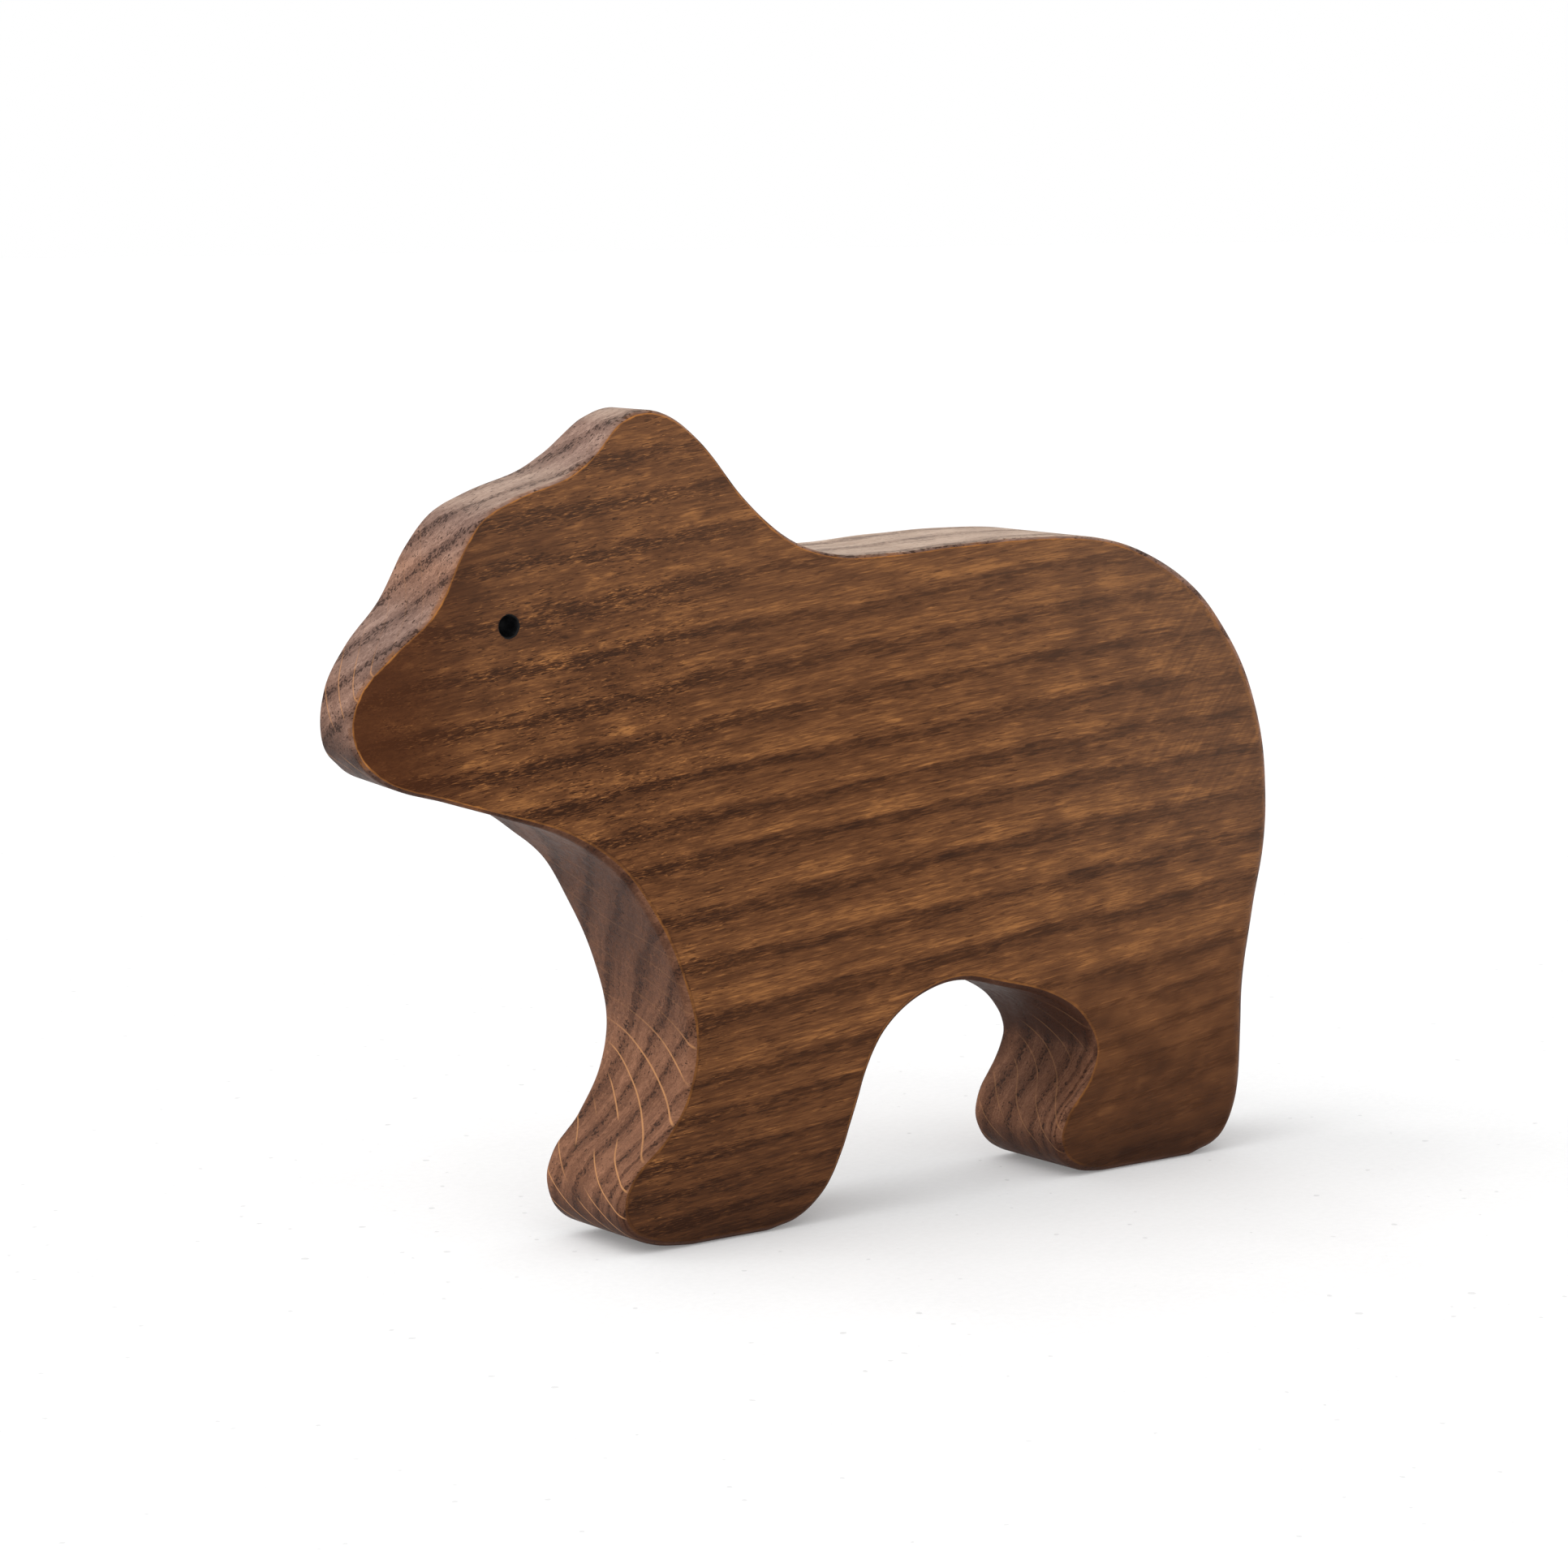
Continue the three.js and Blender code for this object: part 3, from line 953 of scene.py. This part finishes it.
def rim_rays(g):
    """Thin pale sheets across the rings, clearest on the front foot, the rear arch and the snout."""
    slope = g.math("MAXIMUM", g.step(g.z, 40, 75, 0.42, 1.1), g.step(g.z, 6, 30, 0.95, 0.42))
    across = g.subtract(g.z, g.multiply(g.y, slope))
    place = g.multiply(g.add(across, g.multiply(g.patches(22, 1), 7)), 1 / RAY_SPACING)
    from_centre = g.math("ABSOLUTE", g.subtract(g.math("FRACT", place), 0.5))
    zone = g.math("MAXIMUM", g.step(g.z, 24, 32, 1, 0.1), g.step(g.x, -74, -70, 0.7, 0.1))
    zone = g.multiply(zone, g.step(g.x, 0, 10, 1, 0.3))
    gate = g.step(g.subtract(g.patches(13, 1), g.step(g.x, 0, 10, 0, 0.06)), 0.38, 0.46)
    return g.times(g.step(from_centre, 0.014, 0.048, 1, 0), gate, zone)


def rim_grain(g, fine, middle):
    """Light and dark of the rim's fibres, of lines along the rings, and across each ring."""
    lines_place = g.vector(g.multiply(g.x, 0.08), g.multiply(g.level, 2.4), g.multiply(g.y, 0.15))
    return g.times(
        g.varied(fine, 1.0),
        g.varied(middle, 0.9),
        g.varied(g.patches(7, 2), 0.7),
        g.varied(g.noise(lines_place, 2, 0.6), 1.7),
        g.curve(g.phase, RIM_RING_PROFILE, 0, 1),
    )


def rim_shade_and_tone(g, normal_z):
    """Painted shade where the rim faces down and inside the arch; also darker at the feet and on the snout.
    """
    in_arch = g.multiply(g.step(g.x, 0, 30), g.step(g.z, 36, 28))
    # Painted shade in the arch, deeper higher up
    arch_shade = g.multiply(in_arch, g.step(g.z, 8, 20, 0.05, 0.42))
    return g.times(
        # Painted shade where the rim faces down
        g.step(normal_z, -0.6, 0.25, 0.34, 1.0),
        g.subtract(1, arch_shade),
        g.step(g.z, 14, 40, 0.86, 1.10),
        g.step(g.x, -72, -64, 0.84, 1.0),
    )


def oak_rim():
    """The sawn rim: rows of open pores across the end grain, rays, and painted sheen that pales it where it
    faces up.
    """
    g = Oak("stained_hardwood_rim")
    fine = g.streaks(1.0, 0.20, 2, 0.6)
    middle = g.streaks(6, 0.9, 3, 0.6)
    pore = rim_pores(g)
    normal_x, _, normal_z = g.split(g.normal())
    facing_along = g.step(g.math("ABSOLUTE", normal_x), 0.30, 0.80)
    tone = g.multiply(rim_grain(g, fine, middle), rim_shade_and_tone(g, normal_z))

    # Painted sheen: greyer on the head's slopes that face up and at the snout, palest where the rim lies
    # flat along the back
    slope = g.math("MAXIMUM", g.step(normal_z, 0.2, 0.8, 0, 0.8), g.step(g.x, -62, -72, 0, 0.55))
    slope = g.multiply(slope, g.step(g.z, 50, 70))
    colour = g.blend(slope, g.stained(tone, RIM_BROWN), g.stained(tone, RIM_SLOPE_SHEEN))
    top_sheen = g.times(g.subtract(1, facing_along), g.step(normal_z, 0.75, 0.97), g.step(g.x, -28, -5, 0.45, 1.0))
    colour = g.blend(g.multiply(top_sheen, 0.8), colour, g.stained(tone, RIM_TOP_SHEEN))
    colour = g.blend(g.multiply(pore, g.subtract(0.82, g.multiply(top_sheen, 0.4))), colour, OPEN_PORE)
    colour = g.blend(g.times(rim_rays(g), facing_along, 0.9), colour, RAY_GOLD)

    # The sanded corner
    edge = g.attribute("edge_wear")
    worn_patches = g.math("MAXIMUM", g.step(g.patches(3.5, 3), 0.46, 0.70, 0.0, 0.5), g.step(edge, 1.1, 1.6))
    worn = g.times(g.step(edge, 0.6, 0.95), worn_patches, g.step(g.z, 52, 66, 0.0, 0.8))
    colour = g.blend(worn, colour, WORN_RIM_EDGE)

    roughness = g.step(middle, 0.3, 0.7, 0.46, 0.58)
    relief = g.subtract(g.add(g.multiply(middle, 0.6), g.multiply(fine, 0.4)), pore)
    return g.finish(colour, roughness, relief, 0.09)


def black_paint():
    """Thick black paint with a brushed surface and a little dust."""
    g = Graph("black_paint")
    place = g.millimetres()
    patch = g.noise(place, 3, 0.6, 1.4)
    colour = g.blend(g.step(patch, 0.35, 0.7), (0.0025, 0.0025, 0.003), (0.007, 0.007, 0.008))
    g.feed(g.shader.inputs["Base Color"], colour)
    g.feed(g.shader.inputs["Roughness"], g.step(patch, 0.3, 0.7, 0.50, 0.70))
    g.shader.inputs["Specular IOR Level"].default_value = 0.15
    g.feed(g.shader.inputs["Normal"], g.bump(g.noise(place, 2, 0.5, 3.0), 0.4, RELIEF_DEPTH))
    return g.material


def white_table():
    """Matt white paper with a few specks; a faint glow stands for light that the room throws back."""
    g = Graph("white_table")
    place = g.millimetres()
    mottle = g.step(g.noise(place, 3, 0.6, 0.02), 0.3, 0.7, 0.76, 0.79)
    paper = g.step(g.noise(place, 3, 0.7, 0.9), 0.35, 0.65, 0.97, 1.0)
    specks = g.step(g.noise(place, 0, 0.5, 0.6), 0.14, 0.19, 0.80, 1.0)
    shade = g.times(mottle, paper, specks)
    g.feed(g.shader.inputs["Base Color"], g.vector(shade, shade, shade))
    g.shader.inputs["Roughness"].default_value = 0.9
    g.shader.inputs["Specular IOR Level"].default_value = 0.1
    g.shader.inputs["Emission Color"].default_value = (1, 1, 1, 1)
    g.shader.inputs["Emission Strength"].default_value = TABLE_GLOW
    return g.material


# ---------------------------------------------------------------- studio

CAMERA_PLACE = Vector((-356.03, -459.13, 140.62)) * MM
CAMERA_TURN = math.radians(-37.371)
CAMERA_DIP = math.radians(8.037)
CAMERA_LENS = 99.37
CAMERA_SENSOR = 36
CAMERA_REACH = 50

TABLE_SIZE = 12.0
TABLE_GLOW = 0.18

# Daylight: an even sky, shown pure white, and suns. Each sun has a name, its compass direction from +X,
# its height above the table, its strength and how wide it looks, with angles in degrees.
SKY_STRENGTH = 0.70
SUNS = (
    ("left", 168, 48, 1.30, 60),
    ("front_left", 215, 56, 0.75, 80),
)


def camera():
    data = bpy.data.cameras.new("camera")
    data.lens = CAMERA_LENS
    data.sensor_width = CAMERA_SENSOR
    data.clip_end = CAMERA_REACH
    seat = placed("camera", data)
    seat.location = CAMERA_PLACE
    seat.rotation_euler = (math.pi / 2 - CAMERA_DIP, 0, CAMERA_TURN)
    bpy.context.scene.camera = seat


def table():
    mesh = bpy.data.meshes.new("table")
    half = TABLE_SIZE / 2
    corners = [(-half, -half, 0), (half, -half, 0), (half, half, 0), (-half, half, 0)]
    mesh.from_pydata(corners, [], [(0, 1, 2, 3)])
    mesh.materials.append(white_table())
    placed("table", mesh)


def soft_sun(name, turn, height, strength, softness):
    """Distant soft light from a compass direction and a height above the table, in degrees."""
    data = bpy.data.lights.new(name, "SUN")
    data.energy = strength
    data.angle = math.radians(softness)
    turn = math.radians(turn)
    height = math.radians(height)
    way = Vector((math.cos(turn) * math.cos(height), math.sin(turn) * math.cos(height), math.sin(height)))
    placed(name, data).rotation_euler = way.to_track_quat("Z", "Y").to_euler()


def daylight():
    """An even pale sky with broad soft light from the left."""
    world = bpy.data.worlds.new("daylight")
    world.use_nodes = True
    nodes = world.node_tree.nodes
    links = world.node_tree.links
    sky = nodes["Background"]
    sky.inputs["Color"].default_value = (1.0, 1.0, 1.0, 1)
    sky.inputs["Strength"].default_value = SKY_STRENGTH
    shown = nodes.new("ShaderNodeBackground")
    shown.inputs["Color"].default_value = (1.0, 1.0, 1.0, 1)
    path = nodes.new("ShaderNodeLightPath")
    mix = nodes.new("ShaderNodeMixShader")
    links.new(path.outputs["Is Camera Ray"], mix.inputs[0])
    links.new(sky.outputs[0], mix.inputs[1])
    links.new(shown.outputs[0], mix.inputs[2])
    links.new(mix.outputs[0], nodes["World Output"].inputs[0])
    bpy.context.scene.world = world
    for sun in SUNS:
        soft_sun(*sun)


def build():
    """The bear and the paint of its eyes, each in the place of its CAD node."""
    low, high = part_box("eye_left")
    eye_centre = np.array([(low.x + high.x) / 2, (low.z + high.z) / 2]) / MM
    eye_radius = (high.x - low.x) / 2 / MM + PAINT_GAP
    body, thickness = bear_body(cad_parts["bear_body"], eye_centre, eye_radius)
    body.data.materials.append(oak_face())
    body.data.materials.append(oak_rim())
    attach(body, "root")
    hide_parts("bear_body")
    paint_material = black_paint()
    for side, node in ((NEAR_SIDE, "eye_left"), (FAR_SIDE, "eye_right")):
        paint = eye_paint(node + "_paint", side, thickness, eye_centre, eye_radius)
        paint.data.materials.append(paint_material)
        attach(paint, "root")
        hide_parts(node)


build()
camera()
table()
daylight()
bpy.context.scene.view_settings.view_transform = "Standard"
